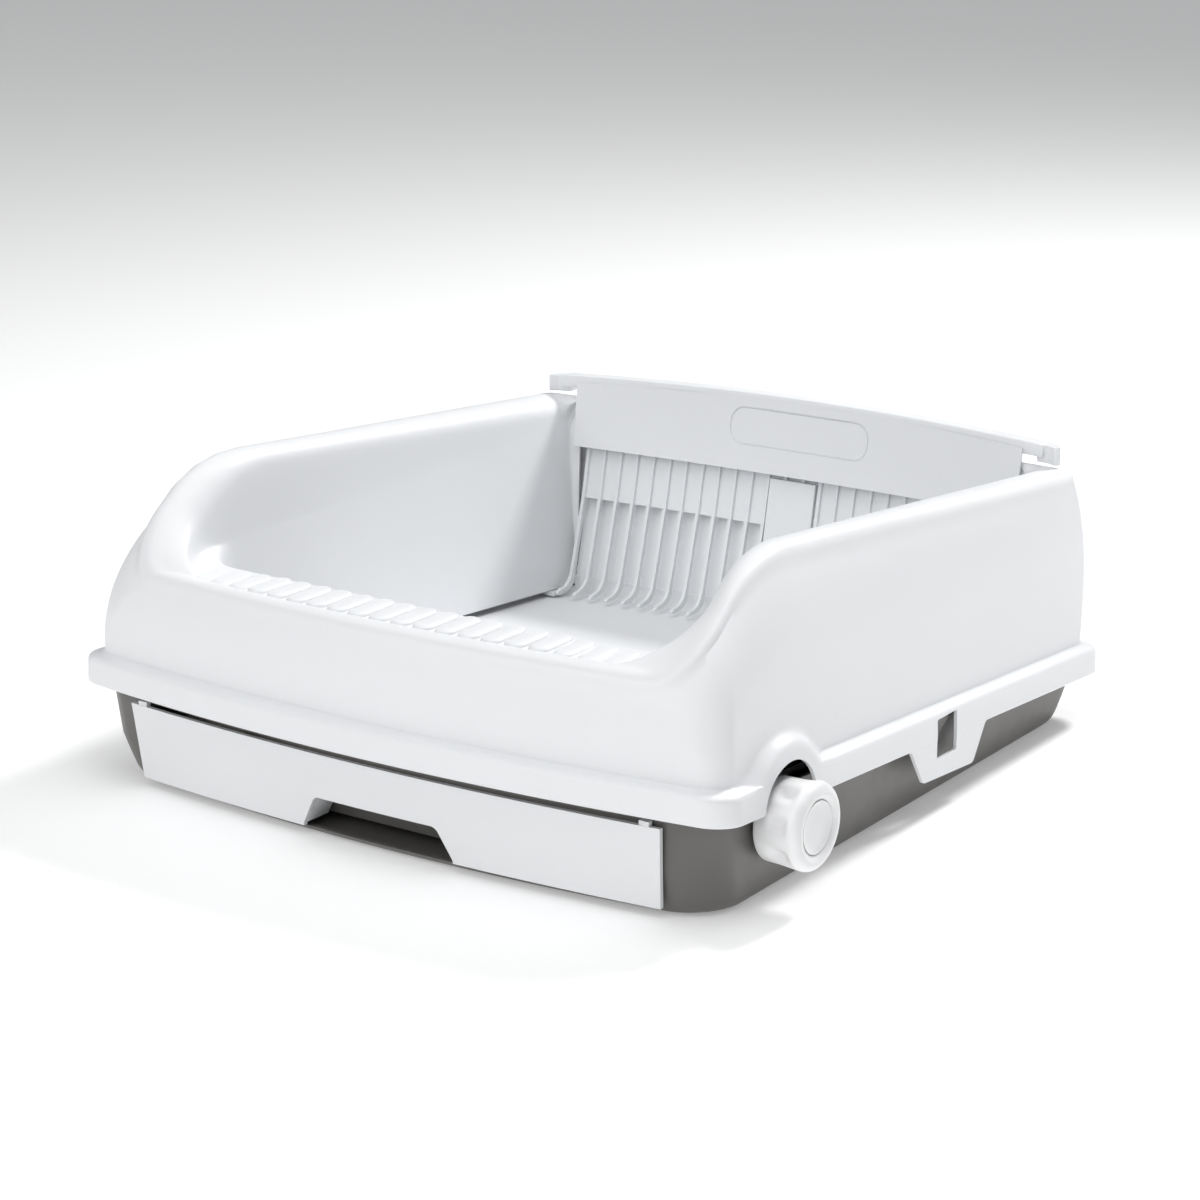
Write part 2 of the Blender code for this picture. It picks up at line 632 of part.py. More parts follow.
def make_drawer():
    rings = []
    for half_width, shift, z in ((DRAWER_HALF_BOTTOM, 0.0, DRAWER_BOTTOM_Z),
                                 (DRAWER_HALF_TOP, DRAWER_LEAN, DRAWER_TOP_Z)):
        strip = bowed_strip(half_width, DRAWER_FRONT_Y * -1 + shift - DRAWER_PLATE, DRAWER_PLATE, DRAWER_BOW)
        rings.append([(x, -y, z) for x, y in strip])
    front = add_object("drawer_front", loft_mesh(rings), (WHITE, 0.35, 0.0))
    notch = [(-NOTCH_HALF_BOTTOM, 0.0), (NOTCH_HALF_BOTTOM, 0.0), (NOTCH_HALF_BOTTOM, 0.008),
             (NOTCH_HALF_TOP, NOTCH_TOP_Z), (-NOTCH_HALF_TOP, NOTCH_TOP_Z), (-NOTCH_HALF_BOTTOM, 0.008)]
    cut(front, "finger_notch", prism_mesh([(x, -0.28, z) for x, z in notch], (0, 0.06, 0)))

    bin_low, bin_high = (-0.190, -0.222, 0.007), (0.190, -0.128, 0.042)
    tray = add_object("drawer_bin", box_mesh(bin_low, bin_high), (GREY, 0.5, 0.0))
    wall = 0.002
    cut(tray, "bin_inside", box_mesh(
        (bin_low[0] + wall, bin_low[1] + wall, bin_low[2] + wall),
        (bin_high[0] - wall, bin_high[1] - wall, 0.06)))
    brackets = []
    for side in (-1, 1):
        xs = sorted((side * 0.1855, side * 0.1895))
        brackets.append(box_mesh((xs[0], -0.2370, 0.0080), (xs[1], -0.2210, 0.0400)))
    join(tray, "bin_brackets", merge_meshes(brackets))

    for side, word in ((-1, "left"), (1, "right")):
        xs = sorted((side * 0.1925, side * 0.1955))
        add_object("drawer_rail_" + word, box_mesh(
            (xs[0], -0.215, SKIN + GAP), (xs[1], -0.125, 0.014)), (GREY, 0.5, 0.0))


make_base_tub()
make_litter_pan()
make_pan_supports()
make_hood_shell()
make_back_panel()
make_rake_comb()
make_rake_drive()
make_knob()
make_drawer()
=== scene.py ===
"""Looks for the cat litter box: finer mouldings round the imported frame, their plastics and the studio.

Metres, in the CAD's frame: +Z up, front towards -Y, the knob on the +X side. Each moulding follows the
CAD's layout and adds the rounding, ribs, grooves and scallops that the CAD leaves out. The hood's walls
and corners, the tub, the pan's back, the back panel and the knob have later sizes than the CAD's.
"""

import json
import math

import bmesh
import bpy
from mathutils import Matrix, Vector

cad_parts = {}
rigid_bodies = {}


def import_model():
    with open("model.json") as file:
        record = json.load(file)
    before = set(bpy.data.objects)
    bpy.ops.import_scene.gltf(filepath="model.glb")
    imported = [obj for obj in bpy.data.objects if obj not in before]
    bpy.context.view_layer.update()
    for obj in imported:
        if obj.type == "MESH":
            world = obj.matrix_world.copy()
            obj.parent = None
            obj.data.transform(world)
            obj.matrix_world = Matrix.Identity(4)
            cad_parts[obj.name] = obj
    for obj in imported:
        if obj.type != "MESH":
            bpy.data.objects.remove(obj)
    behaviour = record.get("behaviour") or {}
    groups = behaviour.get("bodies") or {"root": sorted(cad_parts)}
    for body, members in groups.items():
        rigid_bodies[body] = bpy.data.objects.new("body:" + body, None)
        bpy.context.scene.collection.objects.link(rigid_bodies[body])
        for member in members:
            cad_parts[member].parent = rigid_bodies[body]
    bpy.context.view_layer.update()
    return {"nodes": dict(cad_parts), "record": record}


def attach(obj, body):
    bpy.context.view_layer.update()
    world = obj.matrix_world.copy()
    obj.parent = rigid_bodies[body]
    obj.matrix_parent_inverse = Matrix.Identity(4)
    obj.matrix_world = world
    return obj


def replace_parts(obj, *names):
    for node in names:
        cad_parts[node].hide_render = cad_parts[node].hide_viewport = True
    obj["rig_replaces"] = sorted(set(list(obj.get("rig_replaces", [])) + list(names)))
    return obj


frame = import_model()

# Driving dimensions
FLANGE_HALF_WIDTH = 0.250
FLANGE_HALF_DEPTH = 0.246
FLANGE_FRONT_BOW = 0.022
FLANGE_REAR_BOW = 0.014
FLANGE_MID_HEIGHT = 0.0495
FLANGE_CORNER = 0.017
FLANGE_HEIGHT = 0.0187
WALL_CORNER = 0.0135
WALL_FOOT_X = 0.2403
WALL_FOOT_Y = 0.2363
WALL_LEAN_SIDE = 0.0218
WALL_LEAN_FRONT = 0.0063
WALL_LEAN_REAR = 0.0002
SLOPE = 0.0659
HOOD_SKIN = 0.0024

RIM_PEAK_Z = 0.204
RIM_PEAK_Y = -0.130
RIM_FALL = 0.083
SILL_Z = 0.146
SCOOP_DEPTH = 0.091
SCOOP_POWER = 2.45
LEDGE_Z = 0.1445
RIM_CENTRE_X = 0.2075
RIM_FRONT_Y = -0.221
RIM_REAR_Y = 0.2328
RIM_RADII = (0.011, 0.009, 0.0036)
RIM_CORNERS = (0.027, 0.008)
RIM_FLARE = 0.0085
RIM_OUTER_REACHES = (0.011, 0.009)
RIM_INNER_REACHES = (0.0145, 0.006)
RIM_INNER_DROPS = (0.0125, 0.0015)
RIM_INNER_CORNERS = (0.038, 0.009)
SKIN_TOP_X = 0.193
SKIN_TOP_Z = 0.163
SKIN_LEAN = 0.08
SKIN_FRONT_Y = -0.1885
SKIN_SIDE_TOP_Z = 0.140
SKIN_FOOT_Z = 0.045
SKIN_FOOT_GAP = 0.0053
SKIN_FRONT_BOW = 0.006
SHAFT_COVER = 0.0045

ARCH_Y = -0.1755
ARCH_Z = 0.0585
ARCH_HOLE = 0.0295
ARCH_OUTSIDE = 0.0435

LEAF_HALF_WIDTH = 0.1858
LEAF_FOOT_Y = 0.2268
LEAF_FOOT_Z = 0.1375
LEAF_HEIGHT = 0.0475
LEAF_LEAN = 0.0067
LEAF_THICKNESS = 0.0020
LEAF_ARCH = 0.0055
LEAF_EDGE_HALF_WIDTH = 0.2020
GRIP_CENTRE = (0.0055, 0.1700)
GRIP_HALF_SIZE = (0.0575, 0.0135)
GRIP_CORNER = 0.0115
GRIP_GROOVE_RADIUS = 0.0009

TUB_HALF_WIDTH = 0.2292
TUB_FRONT_Y = -0.2270
TUB_REAR_Y = 0.2290
TUB_FRONT_BOW = 0.018
TUB_CORNER = 0.0185
TUB_CORNER_GROWTH = 1.0
TUB_RIM_SPREAD = 0.0095
TUB_RIM_LIFT = 0.008
TUB_SKIN = 0.003

PAN_FLOOR_Z = 0.027
PAN_FLOOR_AT_Y = 0.186
PAN_HALF_WIDTH = 0.1995
PAN_FRONT_Y = -0.150
PAN_REAR_Y = 0.2225
PAN_CORNER = 0.012
PAN_CREST_Y = -0.120
PAN_BACK_FOOT = (0.2180, 0.0240)
PAN_BACK_TOP = (0.2358, 0.0965)
PAN_BACK_HALF_WIDTH = 0.1795
PAN_BACK_THICKNESS = 0.0021

COMB_HALF_WIDTH = 0.177
COMB_BOW = 0.0075
COMB_TOP_Z = 0.1353
WEB_BOTTOM_Z = 0.098
TINE_PITCH = 0.0141
TINE_WIDTH = 0.0026
MIDDLE_TINE_X = 0.0074

DRAWER_FRONT_Y = -0.2395
DRAWER_LEAN = 0.006
DRAWER_BOW = 0.011
DRAWER_PLATE = 0.003
DRAWER_FOOT_Z = 0.006
DRAWER_HEIGHT = 0.052
DRAWER_HALF_WIDTH = 0.201
DRAWER_WIDENING = 0.003
NOTCH_FOOT_X = 0.058
NOTCH_FOOT_Z = 0.008
NOTCH_TOP_X = 0.047
NOTCH_TOP_Z = 0.028
NOTCH_LIP = 0.0020

KNOB_BACK_X = 0.240
KNOB_FRONT_X = 0.271
KNOB_Y = -0.178
KNOB_Z = 0.052
KNOB_SCALLOPS = 8
SHAFT_HOLE_RADIUS = 0.0055
SHAFT_BORE_RADIUS = 0.0043

RIB_PITCH = 0.0166
RIB_HALF_WIDTH = 0.0072
RIBS_A_SIDE = 11


# Materials

def plastic(name, colour, roughness, mottle=0.02, grain=0.00004, grain_scale=1400.0, streaks=0.0):
    """Moulded plastic: a fine moulding grain, faint mottling in colour and gloss, and flow streaks."""
    material = bpy.data.materials.new(name)
    material.use_nodes = True
    nodes, links = material.node_tree.nodes, material.node_tree.links
    shader = nodes["Principled BSDF"]
    place = nodes.new("ShaderNodeTexCoord")

    cloud = nodes.new("ShaderNodeTexNoise")
    cloud.inputs["Scale"].default_value = 9.0
    cloud.inputs["Detail"].default_value = 5.0
    links.new(place.outputs["Object"], cloud.inputs["Vector"])

    tint = nodes.new("ShaderNodeMapRange")
    tint.inputs["From Min"].default_value = 0.3
    tint.inputs["From Max"].default_value = 0.7
    tint.inputs["To Min"].default_value = 1.0 - mottle
    tint.inputs["To Max"].default_value = 1.0
    links.new(cloud.outputs["Fac"], tint.inputs["Value"])
    shade = nodes.new("ShaderNodeMix")
    shade.data_type = "RGBA"
    shade.blend_type = "MULTIPLY"
    shade.inputs["Factor"].default_value = 1.0
    shade.inputs[6].default_value = (*colour, 1.0)
    links.new(tint.outputs["Result"], shade.inputs[7])
    links.new(shade.outputs[2], shader.inputs["Base Color"])

    wear = nodes.new("ShaderNodeTexNoise")
    wear.inputs["Scale"].default_value = 60.0
    wear.inputs["Detail"].default_value = 3.0
    links.new(place.outputs["Object"], wear.inputs["Vector"])
    gloss = nodes.new("ShaderNodeMapRange")
    gloss.inputs["From Min"].default_value = 0.3
    gloss.inputs["From Max"].default_value = 0.7
    gloss.inputs["To Min"].default_value = roughness - 0.04
    gloss.inputs["To Max"].default_value = roughness + 0.05
    links.new(wear.outputs["Fac"], gloss.inputs["Value"])
    links.new(gloss.outputs["Result"], shader.inputs["Roughness"])

    pebble = nodes.new("ShaderNodeTexNoise")
    pebble.inputs["Scale"].default_value = grain_scale
    pebble.inputs["Detail"].default_value = 2.0
    links.new(place.outputs["Object"], pebble.inputs["Vector"])
    bump = nodes.new("ShaderNodeBump")
    bump.inputs["Distance"].default_value = grain
    bump.inputs["Strength"].default_value = 1.0
    links.new(pebble.outputs["Fac"], bump.inputs["Height"])
    last = bump
    if streaks:
        stretch = nodes.new("ShaderNodeMapping")
        stretch.inputs["Scale"].default_value = (30.0, 30.0, 420.0)
        stretch.inputs["Rotation"].default_value = (math.radians(35), 0.0, 0.0)
        links.new(place.outputs["Object"], stretch.inputs["Vector"])
        flow = nodes.new("ShaderNodeTexNoise")
        flow.inputs["Scale"].default_value = 1.0
        flow.inputs["Detail"].default_value = 4.0
        links.new(stretch.outputs["Vector"], flow.inputs["Vector"])
        last = nodes.new("ShaderNodeBump")
        last.inputs["Distance"].default_value = streaks
        last.inputs["Strength"].default_value = 0.6
        links.new(flow.outputs["Fac"], last.inputs["Height"])
        links.new(bump.outputs["Normal"], last.inputs["Normal"])
    links.new(last.outputs["Normal"], shader.inputs["Normal"])
    return material


def drawn_steel(name):
    """Bright bar stock, with fine lines round the bar."""
    material = bpy.data.materials.new(name)
    material.use_nodes = True
    nodes, links = material.node_tree.nodes, material.node_tree.links
    shader = nodes["Principled BSDF"]
    shader.inputs["Metallic"].default_value = 1.0
    shader.inputs["Base Color"].default_value = (0.60, 0.60, 0.62, 1.0)
    place = nodes.new("ShaderNodeTexCoord")
    stretch = nodes.new("ShaderNodeMapping")
    stretch.inputs["Scale"].default_value = (2500.0, 40.0, 40.0)
    lines = nodes.new("ShaderNodeTexNoise")
    lines.inputs["Scale"].default_value = 1.0
    gloss = nodes.new("ShaderNodeMapRange")
    gloss.inputs["To Min"].default_value = 0.22
    gloss.inputs["To Max"].default_value = 0.42
    links.new(place.outputs["Object"], stretch.inputs["Vector"])
    links.new(stretch.outputs["Vector"], lines.inputs["Vector"])
    links.new(lines.outputs["Fac"], gloss.inputs["Value"])
    links.new(gloss.outputs["Result"], shader.inputs["Roughness"])
    return material


MATERIALS = {
    "white_shell": plastic("white_shell", (0.84, 0.85, 0.865), 0.36, mottle=0.012),
    "white_rake": plastic("white_rake", (0.84, 0.86, 0.87), 0.42, mottle=0.015),
    "white_knob": plastic("white_knob", (0.88, 0.88, 0.885), 0.34, mottle=0.01),
    "grey_tub": plastic("grey_tub", (0.135, 0.130, 0.122), 0.40, mottle=0.06, grain=0.00008,
                        grain_scale=900.0, streaks=0.0001),
    "grey_moulding": plastic("grey_moulding", (0.135, 0.130, 0.122), 0.48, mottle=0.05, grain=0.00008,
                             grain_scale=900.0),
    "black_rubber": plastic("black_rubber", (0.025, 0.025, 0.025), 0.75, mottle=0.2, grain=0.0001,
                            grain_scale=600.0),
    "steel": drawn_steel("steel"),
}


# Mesh helpers

def scene_object(name, bm):
    mesh = bpy.data.meshes.new(name)
    bm.to_mesh(mesh)
    bm.free()
    obj = bpy.data.objects.new(name, mesh)
    bpy.context.scene.collection.objects.link(obj)
    return obj


def boolean(obj, bm, operation="DIFFERENCE"):
    """Adds a Boolean whose operand is removed once finish_piece has applied it."""
    other = scene_object("operand_of_" + obj.name, bm)
    other.hide_render = True
    modifier = obj.modifiers.new(operation.lower(), "BOOLEAN")
    modifier.operation = operation
    modifier.solver = "EXACT"
    modifier.object = other


def finish_piece(obj, body, nodes, slot, crease_degrees=38.0):
    """Applies the modifiers, sets smooth and sharp edges, and fits the piece to its body and nodes."""
    operands = [m.object for m in obj.modifiers if m.type == "BOOLEAN"]
    graph = bpy.context.evaluated_depsgraph_get()
    mesh = bpy.data.meshes.new_from_object(obj.evaluated_get(graph))
    obj.modifiers.clear()
    obj.data = mesh
    for other in operands:
        bpy.data.objects.remove(other, do_unlink=True)
    shade_smooth(obj, crease_degrees)
    obj.data.materials.clear()
    obj.data.materials.append(MATERIALS[slot])
    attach(obj, body)
    if nodes:
        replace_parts(obj, *nodes)


def shade_smooth(obj, crease_degrees):
    bm = bmesh.new()
    bm.from_mesh(obj.data)
    bmesh.ops.remove_doubles(bm, verts=bm.verts, dist=1e-7)
    for face in bm.faces:
        face.smooth = True
    limit = math.radians(crease_degrees)
    for edge in bm.edges:
        edge.smooth = len(edge.link_faces) == 2 and edge.calc_face_angle() < limit
    bm.to_mesh(obj.data)
    bm.free()


def faced_out(bm):
    if bm.calc_volume(signed=True) < 0:
        bmesh.ops.reverse_faces(bm, faces=bm.faces)
    return bm


def loft(rings, capped=True):
    """Joins closed rings of equal length, one after another, into a skin."""
    bm = bmesh.new()
    loops = [[bm.verts.new(point) for point in ring] for ring in rings]
    count = len(loops[0])
    for lower, upper in zip(loops, loops[1:]):
        for i in range(count):
            j = (i + 1) % count
            bm.faces.new((lower[i], lower[j], upper[j], upper[i]))
    if capped:
        bm.faces.new(reversed(loops[0]))
        bm.faces.new(loops[-1])
        faced_out(bm)
    return bm


def prism(outline, along):
    """Pushes a flat closed outline along a vector."""
    far = [tuple(a + b for a, b in zip(point, along)) for point in outline]
    return loft([outline, far])


def merged(meshes):
    """Puts several separate solids in one mesh."""
    whole = bmesh.new()
    for bm in meshes:
        mesh = bpy.data.meshes.new("piece")
        bm.to_mesh(mesh)
        bm.free()
        whole.from_mesh(mesh)
        bpy.data.meshes.remove(mesh)
    return whole


def softened(bm, width, segments=2, degrees=35.0):
    """Bevels the sharp edges of a mesh that hasn't become an object yet."""
    limit = math.radians(degrees)
    sharp = [e for e in bm.edges if len(e.link_faces) == 2 and e.calc_face_angle() > limit]
    bmesh.ops.bevel(bm, geom=sharp, offset=width, offset_type="OFFSET", segments=segments,
                    profile=0.5, affect="EDGES", clamp_overlap=True)
    return bm


def lathe(profile, steps=96, radius_at=None):
    """Turns an (along, radius) profile about the X axis; radius_at may reshape each point."""
    rings = []
    for along, radius in profile:
        ring = []
        for step in range(steps):
            turn = 2 * math.pi * step / steps
            r = radius_at(along, radius, turn) if radius_at else radius
            ring.append((along, r * math.cos(turn), r * math.sin(turn)))
        rings.append(ring)
    return loft(rings)


def rounded(outline, radius, steps=5):
    """Rounds each corner of a flat outline of (u, v) points, by one radius or one for each corner."""
    points = [Vector(p) for p in outline]
    radii = radius if isinstance(radius, (list, tuple)) else [radius] * len(points)
    result = []
    for i, corner in enumerate(points):
        before = (points[i - 1] - corner).normalized()
        after = (points[(i + 1) % len(points)] - corner).normalized()
        if radii[i] <= 0:
            result.append(tuple(corner))
            continue
        half = before.angle(after) / 2
        reach = radii[i] / math.tan(half)
        centre = corner + (before + after).normalized() * (radii[i] / math.sin(half))
        start, end = corner + before * reach - centre, corner + after * reach - centre
        for step in range(steps + 1):
            arm = start.lerp(end, step / steps)
            result.append(tuple(centre + arm.normalized() * radii[i]))
    return result


def curve_through(points, steps):
    """A centripetal Catmull-Rom curve through the points, with some steps between each two."""
    points = [Vector(p) for p in points]
    padded = [2 * points[0] - points[1]] + points + [2 * points[-1] - points[-2]]
    result = [points[0]]
    for i in range(len(points) - 1):
        p0, p1, p2, p3 = padded[i:i + 4]
        d1 = max((p1 - p0).length, 1e-6) ** 0.5
        d2 = max((p2 - p1).length, 1e-6) ** 0.5
        d3 = max((p3 - p2).length, 1e-6) ** 0.5
        t1, t2, t3 = d1, d1 + d2, d1 + d2 + d3
        for step in range(1, steps + 1):
            t = t1 + (t2 - t1) * step / steps
            a1 = p0 * ((t1 - t) / t1) + p1 * (t / t1)
            a2 = p1 * ((t2 - t) / d2) + p2 * ((t - t1) / d2)
            a3 = p2 * ((t3 - t) / d3) + p3 * ((t - t2) / d3)
            b1 = a1 * ((t2 - t) / t2) + a2 * (t / t2)
            b2 = a2 * ((t3 - t) / (t3 - t1)) + a3 * ((t - t1) / (t3 - t1))
            result.append(b1 * ((t2 - t) / d2) + b2 * ((t - t1) / d2))
    return result


# Outlines

CORNER_STEPS = 16
EVEN_SIDE = [step / 24 for step in range(24)]
KNOB_SIDE = [0.0056 * step for step in range(40)] + [0.224 + 0.776 * step / 26 for step in range(26)]


def smooth(value):
    value = min(1.0, max(0.0, value))
    return value * value * (3.0 - 2.0 * value)


def bow_at(x, half_width, bow):
    return bow * max(0.0, 1.0 - (x / half_width) ** 2)


def plan_outline(half_width, front, rear, corners, bows=(0.0, 0.0), bow_half_width=None):
    """A rounded rectangle seen from above with bowed front and rear, as (x, y, front share, rear share).

    It runs anticlockwise from the front left corner. The knob's side has its stations closest by the knob.
    """
    front_corner, rear_corner = corners
    bow_half_width = bow_half_width or half_width
    arcs = [(-1, front + front_corner, front_corner, math.pi, EVEN_SIDE),
            (1, front + front_corner, front_corner, 1.5 * math.pi, KNOB_SIDE),
            (1, rear - rear_corner, rear_corner, 0.0, EVEN_SIDE),
            (-1, rear - rear_corner, rear_corner, 0.5 * math.pi, EVEN_SIDE)]
    arc_points = []
    for side, centre_y, radius, start, _ in arcs:
        centre_x = side * (half_width - radius)
        arc_points.append([(centre_x + radius * math.cos(start + 0.5 * math.pi * step / CORNER_STEPS),
                            centre_y + radius * math.sin(start + 0.5 * math.pi * step / CORNER_STEPS))
                           for step in range(CORNER_STEPS + 1)])
    stations = []
    for index, (_, _, _, _, shares) in enumerate(arcs):
        points = arc_points[index]
        stations += points[:-1]
        (x, y), (next_x, next_y) = points[-1], arc_points[(index + 1) % 4][0]
        stations += [(x + (next_x - x) * share, y + (next_y - y) * share) for share in shares]
    outline = []
    for x, y in stations:
        front_share = min(1.0, max(0.0, (front + front_corner - y) / front_corner))
        rear_share = min(1.0, max(0.0, (y - rear + rear_corner) / rear_corner))
        shift = rear_share * bow_at(x, bow_half_width, bows[1])
        shift -= front_share * bow_at(x, bow_half_width, bows[0])
        outline.append((x, y + shift, front_share, rear_share))
    return outline


def bowed_strip(half_width, end_y, thickness, bow, steps=48):
    """A strip seen from above, bowed towards the rear, its front edge first."""
    front = []
    for step in range(steps + 1):
        x = half_width * (2 * step / steps - 1)
        front.append((x, end_y + bow_at(x, half_width, bow)))
    return front + [(x, y + thickness) for x, y in reversed(front)]


def flange_z(y):
    return FLANGE_MID_HEIGHT - SLOPE * y


def pan_floor_z(y):
    return PAN_FLOOR_Z - SLOPE * (y - PAN_FLOOR_AT_Y)


# Hood

def rim_top_z(straight_y, y):
    if straight_y < RIM_PEAK_Y:
        share = min(1.0, (RIM_PEAK_Y - straight_y) / SCOOP_DEPTH)
        return RIM_PEAK_Z - (RIM_PEAK_Z - SILL_Z) * share ** SCOOP_POWER
    return RIM_PEAK_Z - RIM_FALL * (y - RIM_PEAK_Y)


def rim_flare(y):
    """How much further out the side walls' rounded top edge stands as it falls to the rear."""
    return RIM_FLARE * smooth((y - RIM_PEAK_Y) / (RIM_REAR_Y - RIM_PEAK_Y))


def blend(side, front, rear, station):
    _, _, front_share, rear_share = station
    return side + (front - side) * smooth(front_share) + (rear - side) * smooth(rear_share)


def arch_swell(x, y, z):
    """Moves a point of the outer skin out to the flange's face inside the band over the knob."""
    if x < 0.18 or y > -0.09:
        return x
    soft, fillet, reach = 0.0055, 0.0035, 0.009
    flange_depth = flange_z(y) + FLANGE_HEIGHT - z
    if z > ARCH_Z:
        arch_depth = ARCH_OUTSIDE - math.hypot(y - ARCH_Y, z - ARCH_Z)
    else:
        arch_depth = ARCH_OUTSIDE - abs(y - ARCH_Y)
    share = min(1.0, max(0.0, 0.5 + 0.5 * (arch_depth - flange_depth) / reach))
    joint_depth = flange_depth + (arch_depth - flange_depth) * share + reach * share * (1 - share)

    def out(depth):
        return smooth((depth + fillet) / (soft + fillet))

    beside = out(flange_depth)
    if beside > 0.999:
        return x
    extra = max(0.0, (out(joint_depth) - beside) / (1.0 - beside))
    corner = min(FLANGE_CORNER, max(0.0, FLANGE_CORNER - FLANGE_HALF_DEPTH - y))
    face_x = FLANGE_HALF_WIDTH - 0.0005 - (FLANGE_CORNER - math.sqrt(FLANGE_CORNER ** 2 - corner ** 2))
    return x + max(0.0, face_x - x) * extra


def hood_rings():
    """Rings of the hood's skin: up from the flange, over the rim and down the inside to its foot."""
    outer_bows = (FLANGE_FRONT_BOW, FLANGE_REAR_BOW)
    inner_bows = (SKIN_FRONT_BOW, FLANGE_REAR_BOW)
    rim = plan_outline(
        RIM_CENTRE_X, RIM_FRONT_Y, RIM_REAR_Y, RIM_CORNERS, outer_bows, FLANGE_HALF_WIDTH)
    straight = plan_outline(RIM_CENTRE_X, RIM_FRONT_Y, RIM_REAR_Y, RIM_CORNERS)
    tops = [rim_top_z(plain[1], bent[1]) for plain, bent in zip(straight, rim)]
    rings = []

    def ring(side, front, rear, corners, height, bows=outer_bows, swollen=False, flare=0.0):
        stations = plan_outline(side, front, rear, corners, bows, FLANGE_HALF_WIDTH)
        points = []
        for i, station in enumerate(stations):
            x, y = station[:2]
            x *= 1.0 + flare * rim_flare(y) / side
            z = height(i, station)
            points.append((arch_swell(x, y, z) if swollen else x, y, z))
        rings.append(points)

    flange_section = [(0.0006, 0.0), (0.0001, 0.0006), (0.0, 0.0020), (0.0002, 0.0080)]
    flange_section += [(0.0046 - 0.0042 * math.cos(turn), 0.0145 + 0.0042 * math.sin(turn))
                       for turn in (math.radians(15 * k) for k in range(7))]
    flange_section += [(0.0070, 0.01875), (0.0085, 0.0193), (0.0097, 0.0205)]
    for inset, lift in flange_section:
        corner = FLANGE_CORNER - inset / 2
        ring(FLANGE_HALF_WIDTH - inset, inset - FLANGE_HALF_DEPTH, FLANGE_HALF_DEPTH - inset,
             (corner, corner), lambda i, s, up=lift: flange_z(s[1]) + up, swollen=True)

    foot_lift = flange_section[-1][1]
    near_knob = [0.018 * k for k in range(1, 18)]
    above = [near_knob[-1] + (1.0 - near_knob[-1]) * k / 14 for k in range(1, 15)]
    for share in near_knob + above:
        lean = share ** 3

        def wall_z(i, s, share=share):
            shoulder = tops[i] - blend(*RIM_RADII, s)
            return flange_z(s[1]) + foot_lift + (shoulder - flange_z(s[1]) - foot_lift) * share
        ring(WALL_FOOT_X - WALL_LEAN_SIDE * lean, -WALL_FOOT_Y + WALL_LEAN_FRONT * lean,
             WALL_FOOT_Y + WALL_LEAN_REAR * lean,
             (WALL_CORNER + (RIM_CORNERS[0] - WALL_CORNER) * share ** 2,
              WALL_CORNER + (RIM_CORNERS[1] - WALL_CORNER) * share), wall_z, swollen=True, flare=share ** 2)

    for step in range(1, 13):
        turn = math.pi * step / 12
        out, up = math.cos(turn), math.sin(turn)
        inward = max(0.0, step / 6 - 1.0)
        drops = RIM_RADII if step <= 6 else (*RIM_INNER_DROPS, RIM_RADII[2])
        reaches = RIM_OUTER_REACHES if step <= 6 else RIM_INNER_REACHES

        def rim_z(i, s, up=up, drops=drops):
            return tops[i] - blend(*drops, s) * (1 - up)
        ring(RIM_CENTRE_X + reaches[0] * out, RIM_FRONT_Y - reaches[1] * out,
             RIM_REAR_Y + RIM_RADII[2] * out,
             (RIM_CORNERS[0] + (RIM_INNER_CORNERS[0] - RIM_CORNERS[0]) * inward,
              RIM_CORNERS[1] + (RIM_INNER_CORNERS[1] - RIM_CORNERS[1]) * inward),
             rim_z, flare=(1 + out) / 2)

    inner_start = len(rings) - 1

    def skin_x(z):
        return SKIN_TOP_X - SKIN_LEAN * (SKIN_TOP_Z - z)

    inner_rear_y = RIM_REAR_Y - RIM_RADII[2]
    ledge_steps = [(0.1520, -0.2120, LEDGE_Z, 0.1650), (0.1460, -0.1930, LEDGE_Z, 0.1610),
                   (SKIN_SIDE_TOP_Z, -0.1890, 0.1415, 0.1580)]
    for side_z, front_y, front_z, rear_z in ledge_steps:
        ring(skin_x(side_z), front_y, inner_rear_y, (0.036, 0.003),
             lambda i, s, z=(side_z, front_z, rear_z): blend(*z, s), inner_bows)
    for share, rear_z in ((0.5, 0.1560), (1.0, 0.1540)):
        def skin_z(i, s, share=share, rear_z=rear_z):
            shaft_cover = SHAFT_COVER * smooth((-s[1] - 0.110) / 0.03)
            foot = pan_floor_z(s[1]) + SKIN_FOOT_GAP + shaft_cover
            side_z = SKIN_SIDE_TOP_Z + (foot - SKIN_SIDE_TOP_Z) * share
            return side_z + (rear_z - side_z) * smooth((s[3] - 0.15) / 0.5)
        foot_x = skin_x(SKIN_SIDE_TOP_Z) + (skin_x(SKIN_FOOT_Z) - skin_x(SKIN_SIDE_TOP_Z)) * share
        ring(foot_x, SKIN_FRONT_Y, inner_rear_y, (0.034, 0.003), skin_z, inner_bows)

    knots = rings[inner_start:]
    columns = [curve_through([knot[i] for knot in knots], 5) for i in range(len(knots[0]))]
    inner = [[tuple(column[k]) for column in columns] for k in range(1, len(columns[0]))]
    return rings[:inner_start + 1] + inner


def latch_tab(side):
    """One latch tab, flush with the flange, its corners and its roots rounded."""
    def edge(y):
        return flange_z(y) + 0.0002
    outline = [(-0.040, edge(-0.040) + 0.004), (-0.040, edge(-0.040)), (-0.031, edge(-0.031)),
               (-0.014, 0.026), (0.0525, 0.021), (0.069, edge(0.069)), (0.078, edge(0.078)),
               (0.078, edge(0.078) + 0.004)]
    turns = rounded(outline, [0, 0, 0.004, 0.005, 0.005, 0.004, 0, 0])
    return prism([(side * 0.2477, y, z) for y, z in turns], (side * 0.00215, 0, 0))


